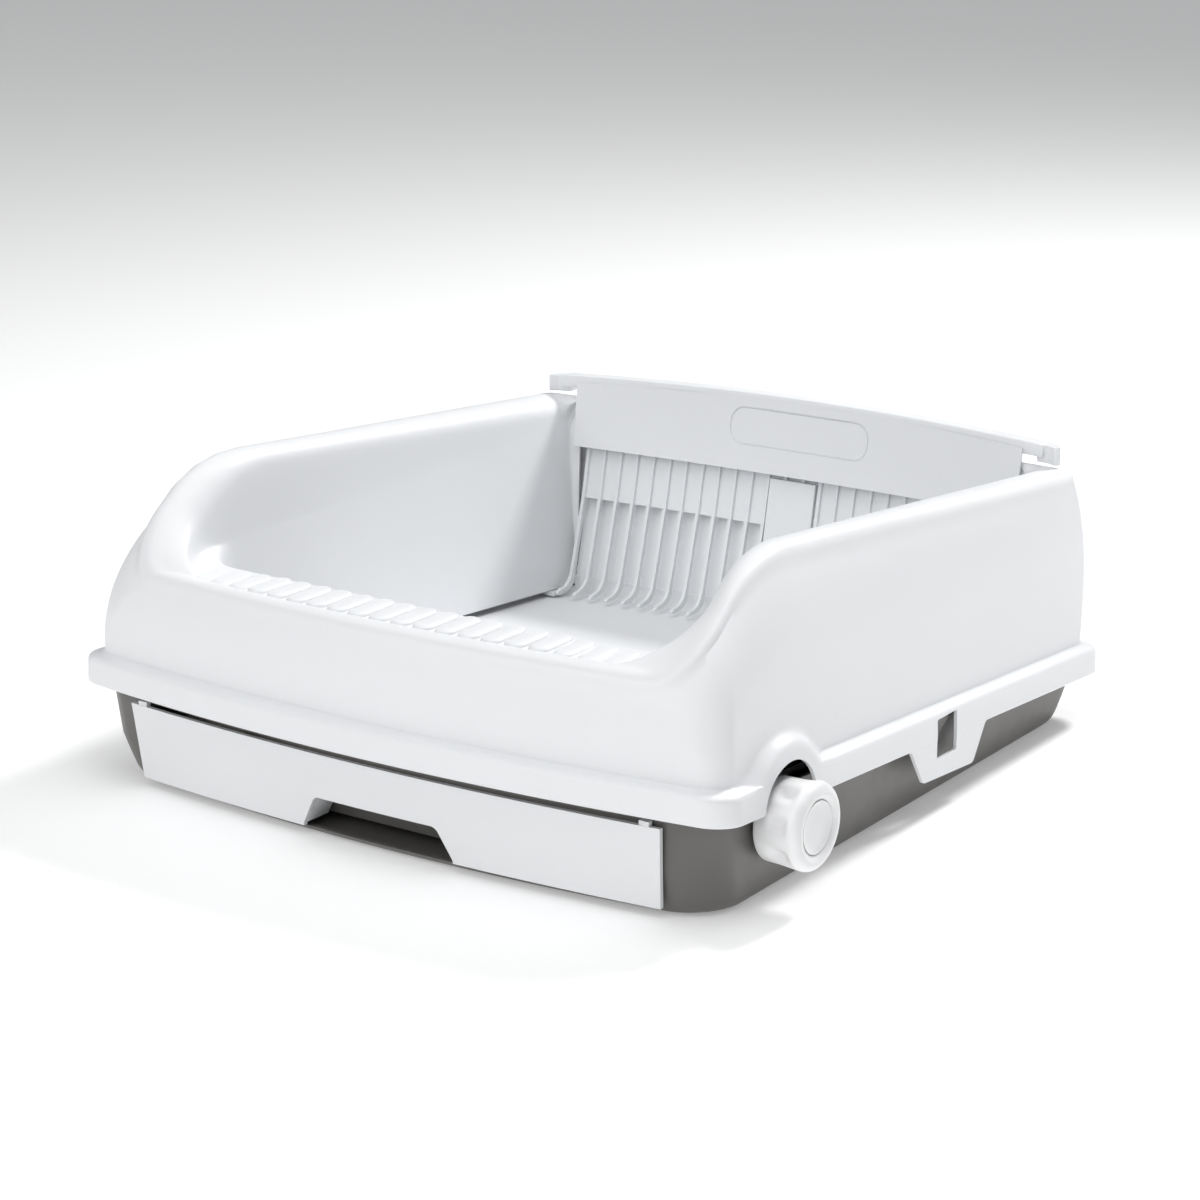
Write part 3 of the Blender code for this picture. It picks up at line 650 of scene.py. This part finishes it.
def make_hood():
    hood = scene_object("hood_moulding", loft(hood_rings(), capped=False))
    skin = hood.modifiers.new("skin", "SOLIDIFY")
    skin.thickness = HOOD_SKIN
    skin.offset = -1.0
    half_turn = [math.pi * step / 48 for step in range(49)]
    hole = [(0.225, ARCH_Y + ARCH_HOLE * math.cos(turn), ARCH_Z + ARCH_HOLE * math.sin(turn))
            for turn in half_turn]
    hole += [(0.225, ARCH_Y - ARCH_HOLE, 0.03), (0.225, ARCH_Y + ARCH_HOLE, 0.03)]
    boolean(hood, prism(hole, (0.035, 0, 0)))
    boolean(hood, merged([softened(latch_tab(side), 0.0004, 2, 60) for side in (-1, 1)]), "UNION")
    windows = []
    for side in (-1, 1):
        window = rounded([(0.003, 0.037), (0.029, 0.037), (0.029, 0.0635), (0.003, 0.0635)], 0.0012, 3)
        windows.append(prism([(side * 0.243, y, z) for y, z in window], (side * 0.013, 0, 0)))
    boolean(hood, merged(windows))
    finish_piece(hood, "hood", ["hood_shell"], "white_shell")


def make_ledge_ribs():
    """The row of low round-ended ribs that runs across the front ledge."""
    ribs = []
    for side in (-1, 1):
        for k in range(RIBS_A_SIDE):
            x = side * RIB_PITCH * (0.5 + k)
            last = k == RIBS_A_SIDE - 1
            front = -0.2170 - bow_at(x, FLANGE_HALF_WIDTH, FLANGE_FRONT_BOW)
            sink = 0.0007 * max(0, k - 6)
            rear = -0.2075 if last else -0.1945 - bow_at(x, FLANGE_HALF_WIDTH, SKIN_FRONT_BOW)
            ribs.append(rib_mesh(x, front, rear, sink))
    finish_piece(scene_object("ledge_ribs", merged(ribs)), "hood", [], "white_shell", 60)


def rib_mesh(x, front, rear, sink):
    """One rib; sink lowers it into the ledge, so that the last ones fade out."""
    section = [(0.0, -0.0012), (0.0, 0.0006), (0.0004, 0.0015), (0.0013, 0.0022), (0.0028, 0.0027),
               (0.0048, 0.0029)]
    rings = []
    for inset, lift in section:
        radius = RIB_HALF_WIDTH - inset
        ring = []
        for centre_y, start in ((front + RIB_HALF_WIDTH, math.pi), (rear - RIB_HALF_WIDTH, 0.0)):
            for step in range(13):
                turn = start + math.pi * step / 12
                ring.append((x + radius * math.cos(turn), centre_y + radius * math.sin(turn),
                             LEDGE_Z + lift - sink))
        rings.append(ring)
    return loft(rings)


def make_back_panel():
    """The leaning leaf with its pressed grip outline, its rolled top edge and its two ears."""
    rings = []
    for k in range(9):
        share = k / 8
        half_width = LEAF_HALF_WIDTH + 0.0008 * share
        strip = bowed_strip(half_width, LEAF_FOOT_Y + LEAF_LEAN * share, LEAF_THICKNESS, COMB_BOW)
        rings.append([(x, y, LEAF_FOOT_Z + LEAF_HEIGHT * share + share * bow_at(x, half_width, LEAF_ARCH))
                      for x, y in strip])
    panel = scene_object("back_panel_moulding", softened(loft(rings), 0.0004, 2, 60))
    boolean(panel, grip_groove())
    edge_rings = []
    for k in range(13):
        turn = math.pi * (k / 12 - 0.5)
        inset = 0.0030 * (1 - abs(math.cos(turn)) ** 0.5)
        z = 0.18425 + 0.00475 * math.sin(turn)
        strip = bowed_strip(
            LEAF_EDGE_HALF_WIDTH - inset, 0.2337 + inset, 0.0135 - 2 * inset, COMB_BOW)
        edge_rings.append([(x, y, z + bow_at(x, LEAF_EDGE_HALF_WIDTH, LEAF_ARCH)) for x, y in strip])
    boolean(panel, loft(edge_rings), "UNION")
    ears = []
    for side in (-1, 1):
        ear = rounded([(0.1960, 0.2375), (0.2060, 0.2362), (0.2120, 0.2325), (0.2145, 0.2365),
                       (0.2090, 0.2440), (0.2000, 0.2480), (0.1960, 0.2482)],
                      [0, 0.004, 0.0012, 0.0022, 0.005, 0.004, 0])
        ears.append(softened(prism([(side * x, y, 0.1759) for x, y in ear], (0, 0, 0.0123)), 0.0016, 4))
    boolean(panel, merged(ears), "UNION")
    finish_piece(panel, "back_panel", ["back_panel"], "white_shell")


def grip_groove():
    """A thin closed tube that presses the grip's outline into the leaf's front face."""
    corners = [(GRIP_CENTRE[0] + right * GRIP_HALF_SIZE[0], GRIP_CENTRE[1] + up * GRIP_HALF_SIZE[1])
               for right, up in ((-1, -1), (1, -1), (1, 1), (-1, 1))]
    path = rounded(corners, GRIP_CORNER, 10)
    dense = []
    for (x, z), (next_x, next_z) in zip(path, path[1:] + path[:1]):
        steps = max(1, round(math.hypot(next_x - x, next_z - z) / 0.002))
        dense += [(x + (next_x - x) * k / steps, z + (next_z - z) * k / steps) for k in range(steps)]
    rings = []
    for index, (x, z) in enumerate(dense):
        before, after = Vector(dense[index - 1]), Vector(dense[(index + 1) % len(dense)])
        run = (after - before).normalized()
        across = Vector((run.y, 0, -run.x))
        lean = LEAF_LEAN * (z - LEAF_FOOT_Z) / LEAF_HEIGHT
        middle = Vector((x, LEAF_FOOT_Y + lean + bow_at(x, 0.186, COMB_BOW) - 0.0002, z))
        ring = []
        for k in range(8):
            turn = 2 * math.pi * k / 8
            arm = across * math.cos(turn) + Vector((0, 1, 0)) * math.sin(turn)
            ring.append(tuple(middle + arm * GRIP_GROOVE_RADIUS))
        rings.append(ring)
    return faced_out(loft(rings + rings[:1], capped=False))


# Rake

def fin_outline():
    """The side view of one tine, its foot curving forward, as (y, z)."""
    front = curve_through([(0.2266, WEB_BOTTOM_Z), (0.2113, 0.0450), (0.2085, 0.0385), (0.2035, 0.0345),
                           (0.1935, 0.0322)], 4)
    tip = curve_through([(0.1935, 0.0322), (0.1920, 0.0307), (0.1935, 0.0292)], 3)
    back = curve_through([(0.1935, 0.0292), (0.2050, 0.0300), (0.2125, 0.0350), (0.2153, 0.0450),
                          (0.2306, WEB_BOTTOM_Z)], 4)
    ends = [(0.2346, COMB_TOP_Z)] + [tuple(p) for p in front] + [tuple(p) for p in tip[1:]]
    return ends + [tuple(p) for p in back[1:]] + [(0.2386, COMB_TOP_Z)]


def make_rake_comb():
    rings = []
    for k in range(5):
        share = k / 4
        strip = bowed_strip(COMB_HALF_WIDTH, 0.2291 + 0.0080 * share, 0.0014, COMB_BOW)
        z = WEB_BOTTOM_Z + (COMB_TOP_Z - 0.0004 - WEB_BOTTOM_Z) * share
        rings.append([(x, y, z) for x, y in strip])
    comb = scene_object("rake_comb_web", softened(loft(rings), 0.0004, 2, 60))
    pad = [(-0.019, 0.2213 + COMB_BOW, 0.078), (0.019, 0.2213 + COMB_BOW, 0.078),
           (0.019, 0.2240 + COMB_BOW, 0.078), (-0.019, 0.2240 + COMB_BOW, 0.078)]
    boolean(comb, softened(prism(pad, (0, 0.0110, 0.0550)), 0.0006, 3), "UNION")
    finish_piece(comb, "rake", ["rake_comb"], "white_rake")

    fins = []
    xs = [side * (COMB_HALF_WIDTH - TINE_PITCH * k) for side in (-1, 1) for k in range(12)]
    for x in xs + [-MIDDLE_TINE_X, MIDDLE_TINE_X]:
        bow = bow_at(x, COMB_HALF_WIDTH, COMB_BOW)
        outline = [(x - TINE_WIDTH / 2, y + bow, z) for y, z in fin_outline()]
        fins.append(softened(prism(outline, (TINE_WIDTH, 0, 0)), 0.0008, 3, 60))
    finish_piece(scene_object("rake_tines", merged(fins)), "rake", [], "white_rake")

    heels = []
    for side in (-1, 1):
        heel = rounded([(0.1955, 0.0308), (0.2060, 0.0308), (0.2060, 0.0335), (0.1955, 0.0335)],
                       0.0008, 3)
        low_x = side * COMB_HALF_WIDTH - 0.0017
        heels.append(softened(prism([(low_x, y, z) for y, z in heel], (0.0034, 0, 0)), 0.0004, 2, 60))
    finish_piece(scene_object("rake_heels", merged(heels)), "rake", [], "white_rake")


# Base

def make_tub():
    bottom_curve = [(0.0, -0.0048), (0.0003, -0.0034), (0.0012, -0.0018), (0.0026, -0.0004),
                    (0.0045, 0.0008), (0.0080, 0.0020), (0.0180, 0.0042), (0.0300, 0.0065)]
    rings = []

    def ring(spread, height):
        corner = TUB_CORNER + TUB_CORNER_GROWTH * (TUB_RIM_SPREAD - spread)
        stations = plan_outline(
            TUB_HALF_WIDTH + spread, TUB_FRONT_Y - spread, TUB_REAR_Y + spread,
            (corner, corner), (TUB_FRONT_BOW, FLANGE_REAR_BOW))
        rings.append([(x, y, flange_z(y) + TUB_RIM_LIFT if height is None else height)
                      for x, y, _, _ in stations])

    for height, spread in bottom_curve:
        ring(spread, height)
    ring(TUB_RIM_SPREAD, None)
    ring(TUB_RIM_SPREAD - TUB_SKIN, None)
    for height, spread in reversed(bottom_curve[4:]):
        ring(spread - TUB_SKIN, height)
    ring(-0.0065, TUB_SKIN)
    tub = scene_object("base_tub_moulding", loft(rings))
    opening = [(-0.1915, 0.0045), (0.1915, 0.0045), (0.1925, 0.0595), (-0.1925, 0.0595)]
    boolean(tub, prism([(x, -0.29, z) for x, z in rounded(opening, 0.0015, 3)], (0, 0.10, 0)))
    hole = [(0.22, KNOB_Y + SHAFT_HOLE_RADIUS * math.cos(turn), KNOB_Z + SHAFT_HOLE_RADIUS * math.sin(turn))
            for turn in (2 * math.pi * k / 32 for k in range(32))]
    boolean(tub, prism(hole, (0.04, 0, 0)))
    catches = []
    for side in (-1, 1):
        wedge = [(0.2352, 0.0400), (0.2455, 0.0585), (0.2455, 0.0610), (0.2352, 0.0610)]
        catches.append(softened(prism([(side * x, 0.007, z) for x, z in wedge], (0, 0.018, 0)), 0.0005))
    boolean(tub, merged(catches), "UNION")
    finish_piece(tub, "base", ["base_tub"], "grey_tub")


def make_litter_pan():
    """The pan's floor, its low side walls and its leaning back wall, cut off at its front crest."""
    rings = []

    def ring(spread, lift):
        stations = plan_outline(
            PAN_HALF_WIDTH + spread, PAN_FRONT_Y, PAN_REAR_Y + spread,
            (PAN_CORNER, PAN_CORNER), (0.0, COMB_BOW))
        rings.append([(x, y, pan_floor_z(y) + lift) for x, y, _, _ in stations])

    ring(-0.0060, -0.0025)
    ring(-0.0020, -0.0005)
    ring(0.0, 0.003)
    ring(0.0, 0.0129)
    ring(-0.0006, 0.0135)
    ring(-0.0019, 0.0135)
    ring(-0.0025, 0.0129)
    ring(-0.0025, 0.0050)
    ring(-0.0032, 0.0025)
    ring(-0.0050, 0.0008)
    ring(-0.0080, 0.0)
    pan = scene_object("litter_pan_moulding", loft(rings))
    cutter = [(-0.25, -0.20, 0.0), (0.25, -0.20, 0.0),
              (0.25, PAN_CREST_Y, 0.0), (-0.25, PAN_CREST_Y, 0.0)]
    boolean(pan, prism(cutter, (0, 0, 0.12)))
    back_rings = []
    for back_y, back_z in (PAN_BACK_FOOT, PAN_BACK_TOP):
        strip = bowed_strip(PAN_BACK_HALF_WIDTH, back_y, PAN_BACK_THICKNESS, COMB_BOW)
        back_rings.append([(x, y, back_z) for x, y in strip])
    boolean(pan, softened(loft(back_rings), 0.0004, 2, 60), "UNION")
    notches = []
    for side in (-1, 1):
        notch = [(0.181, 0.217), (0.190, 0.217), (0.190, 0.228), (0.181, 0.228)]
        notches.append(prism([(side * x, y, 0.0286) for x, y in notch], (0, 0, 0.015)))
    boolean(pan, merged(notches))
    finish_piece(pan, "base", ["litter_pan"], "white_shell")


# Waste drawer

def drawer_y(x, z):
    """The front face of the drawer at a point of its height."""
    share = (z - DRAWER_FOOT_Z) / DRAWER_HEIGHT
    half_width = DRAWER_HALF_WIDTH + DRAWER_WIDENING * share
    return DRAWER_FRONT_Y - DRAWER_LEAN * share - bow_at(x, half_width, DRAWER_BOW)


def make_drawer_front():
    rings = []
    steps = 48
    for k in range(9):
        z = DRAWER_FOOT_Z + DRAWER_HEIGHT * k / 8
        half_width = DRAWER_HALF_WIDTH + DRAWER_WIDENING * k / 8
        xs = [half_width * (2 * step / steps - 1) for step in range(steps + 1)]
        outside = [(x, drawer_y(x, z), z) for x in xs]
        rings.append(outside + [(x, y + DRAWER_PLATE, z) for x, y, _ in reversed(outside)])
    front = scene_object("drawer_front_moulding", softened(loft(rings), 0.0006, 3, 60))
    notch = notch_outline(0.0)
    boolean(front, prism([(x, -0.28, z) for x, z in notch], (0, 0.06, 0)))
    finish_piece(front, "drawer", ["drawer_front"], "white_shell")

    outside, inside = notch_outline(NOTCH_LIP), notch_outline(0.0)
    arch = [p for p in outside if p[1] > 0.007]
    arch = arch + [p for p in reversed(inside) if p[1] > 0.007]
    plate_back = -0.2462
    lip = scene_object("notch_lip", prism([(x, plate_back, z) for x, z in arch], (0, 0.0205, 0)))
    finish_piece(lip, "drawer", [], "white_shell")

    nubs = []
    for x in (-0.1935, 0.1935):
        low = drawer_y(x, DRAWER_FOOT_Z + DRAWER_HEIGHT) + 0.0004
        block = [(x - 0.0035, low, 0.0570), (x + 0.0035, low, 0.0570),
                 (x + 0.0035, low + 0.0035, 0.0570), (x - 0.0035, low + 0.0035, 0.0570)]
        nubs.append(softened(prism(block, (0, 0, 0.0040)), 0.0005))
    finish_piece(scene_object("drawer_stops", merged(nubs)), "drawer", [], "white_shell")


def notch_outline(grow):
    """The finger notch seen from the front, made larger all round its arch by grow."""
    foot_x, top_x, top_z = NOTCH_FOOT_X + grow, NOTCH_TOP_X + grow, NOTCH_TOP_Z + grow
    points = [(-foot_x, 0.0), (foot_x, 0.0), (foot_x, NOTCH_FOOT_Z), (top_x, top_z),
              (-top_x, top_z), (-foot_x, NOTCH_FOOT_Z)]
    return rounded(points, [0, 0, 0.004, 0.006 + grow, 0.006 + grow, 0.004])


# Knob

def make_knob():
    profile = [(0.0, 0.0045), (0.0, 0.0240), (0.0004, 0.0248), (0.0014, 0.0254), (0.0060, 0.0257),
               (0.0120, 0.0261), (0.0180, 0.0266), (0.0225, 0.02695), (0.0250, 0.0271), (0.0272, 0.0266),
               (0.0290, 0.0255), (0.0302, 0.0240), (0.0309, 0.0222), (0.0310, 0.0208), (0.0307, 0.0194),
               (0.0300, 0.0182), (0.0292, 0.0173), (0.0284, 0.0167), (0.0275, 0.01645), (0.0275, 0.0045)]
    smooth_profile = [(p.x, p.y) for p in curve_through(profile[1:-1], 3)]
    first, last = profile[0], profile[-1]
    phase = math.radians(167.0)

    def scalloped(along, radius, turn):
        if radius < 0.0240:
            return radius
        ridge = 0.5 + 0.5 * math.cos(KNOB_SCALLOPS * (turn - phase))
        length = smooth((along - 0.006) / 0.009) * (1 - smooth((along - 0.0185) / 0.0065))
        return radius - 0.0034 * ridge ** 1.4 * length

    bm = lathe([first] + smooth_profile + [last], 160, scalloped)
    axis = Matrix.Translation((KNOB_BACK_X, KNOB_Y, KNOB_Z))
    bmesh.ops.transform(bm, matrix=axis, verts=bm.verts)
    knob = scene_object("knob_moulding", bm)
    bore = lathe([(-0.005, SHAFT_BORE_RADIUS), (0.023, SHAFT_BORE_RADIUS)], 48)
    bmesh.ops.transform(bore, matrix=axis, verts=bore.verts)
    boolean(knob, bore)
    finish_piece(knob, "knob_shaft", ["knob"], "white_knob", 50)

    cap = lathe([(-0.0032, 0.0156), (-0.0024, 0.0161), (-0.0018, 0.0161), (-0.0019, 0.0155),
                 (-0.0025, 0.0140), (-0.0029, 0.0120), (-0.0030, 0.0080), (-0.0030, 0.0010)])
    front = Matrix.Translation((KNOB_FRONT_X, KNOB_Y, KNOB_Z))
    bmesh.ops.transform(cap, matrix=front, verts=cap.verts)
    finish_piece(scene_object("knob_cap_moulding", cap), "knob_shaft", ["knob_cap"], "white_knob", 50)


# CAD nodes that are shown as they are

def dress_cad_nodes():
    replaced = set()
    for obj in bpy.data.objects:
        replaced.update(obj.get("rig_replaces", []))
    for row in frame["record"]["subparts"]:
        node, slot = row["node"], row["material_slot"]
        if node in replaced:
            continue
        obj = frame["nodes"][node]
        obj.data.materials.clear()
        obj.data.materials.append(MATERIALS[slot])
        for face in obj.data.polygons:
            face.use_smooth = False


# Studio

def area_light(name, place, target, size, power):
    data = bpy.data.lights.new(name, "AREA")
    data.shape = "RECTANGLE"
    data.size, data.size_y = size
    data.energy = power
    light = bpy.data.objects.new(name, data)
    light.location = place
    light.rotation_euler = (Vector(target) - Vector(place)).to_track_quat("-Z", "Y").to_euler()
    bpy.context.scene.collection.objects.link(light)


def make_studio():
    world = bpy.data.worlds.new("studio")
    world.use_nodes = True
    sky = world.node_tree.nodes["Background"]
    sky.inputs["Color"].default_value = (0.96, 0.98, 1.0, 1.0)
    sky.inputs["Strength"].default_value = 0.22
    bpy.context.scene.world = world
    bpy.context.scene.view_settings.view_transform = "Standard"

    bm = bmesh.new()
    bmesh.ops.create_grid(bm, x_segments=2, y_segments=2, size=12.0)
    floor = scene_object("studio_floor", bm)
    floor.location.z = -0.0005
    paper = bpy.data.materials.new("pale_floor")
    paper.use_nodes = True
    shader = paper.node_tree.nodes["Principled BSDF"]
    shader.inputs["Base Color"].default_value = (0.90, 0.90, 0.90, 1.0)
    shader.inputs["Roughness"].default_value = 0.9
    shader.inputs["Emission Color"].default_value = (1.0, 1.0, 1.0, 1.0)
    shader.inputs["Emission Strength"].default_value = 0.24
    floor.data.materials.append(paper)

    area_light("key", (0.55, 1.75, 2.05), (0.0, 0.0, 0.05), (0.5, 0.5), 50.0)
    area_light("overhead", (0.2, -0.4, 2.4), (0.0, 0.0, 0.0), (2.2, 2.2), 21.0)
    area_light("inner_fill", (0.32, -0.6, 1.1), (-0.2, 0.05, 0.1), (0.5, 0.5), 1.5)
    area_light("front_fill", (-0.3, -2.6, 1.5), (0.0, 0.0, 0.10), (2.4, 1.6), 25.0)


def make_camera():
    data = bpy.data.cameras.new("camera")
    data.lens = 91.0
    data.sensor_width = 36.0
    data.clip_start, data.clip_end = 0.1, 60.0
    camera = bpy.data.objects.new("camera", data)
    camera.location = (1.0970, -1.6077, 0.6734)
    camera.rotation_euler = (math.radians(73.624), 0.0, math.radians(34.447))
    bpy.context.scene.collection.objects.link(camera)
    bpy.context.scene.camera = camera


make_hood()
make_ledge_ribs()
make_back_panel()
make_rake_comb()
make_tub()
make_litter_pan()
make_drawer_front()
make_knob()
dress_cad_nodes()
make_camera()
make_studio()
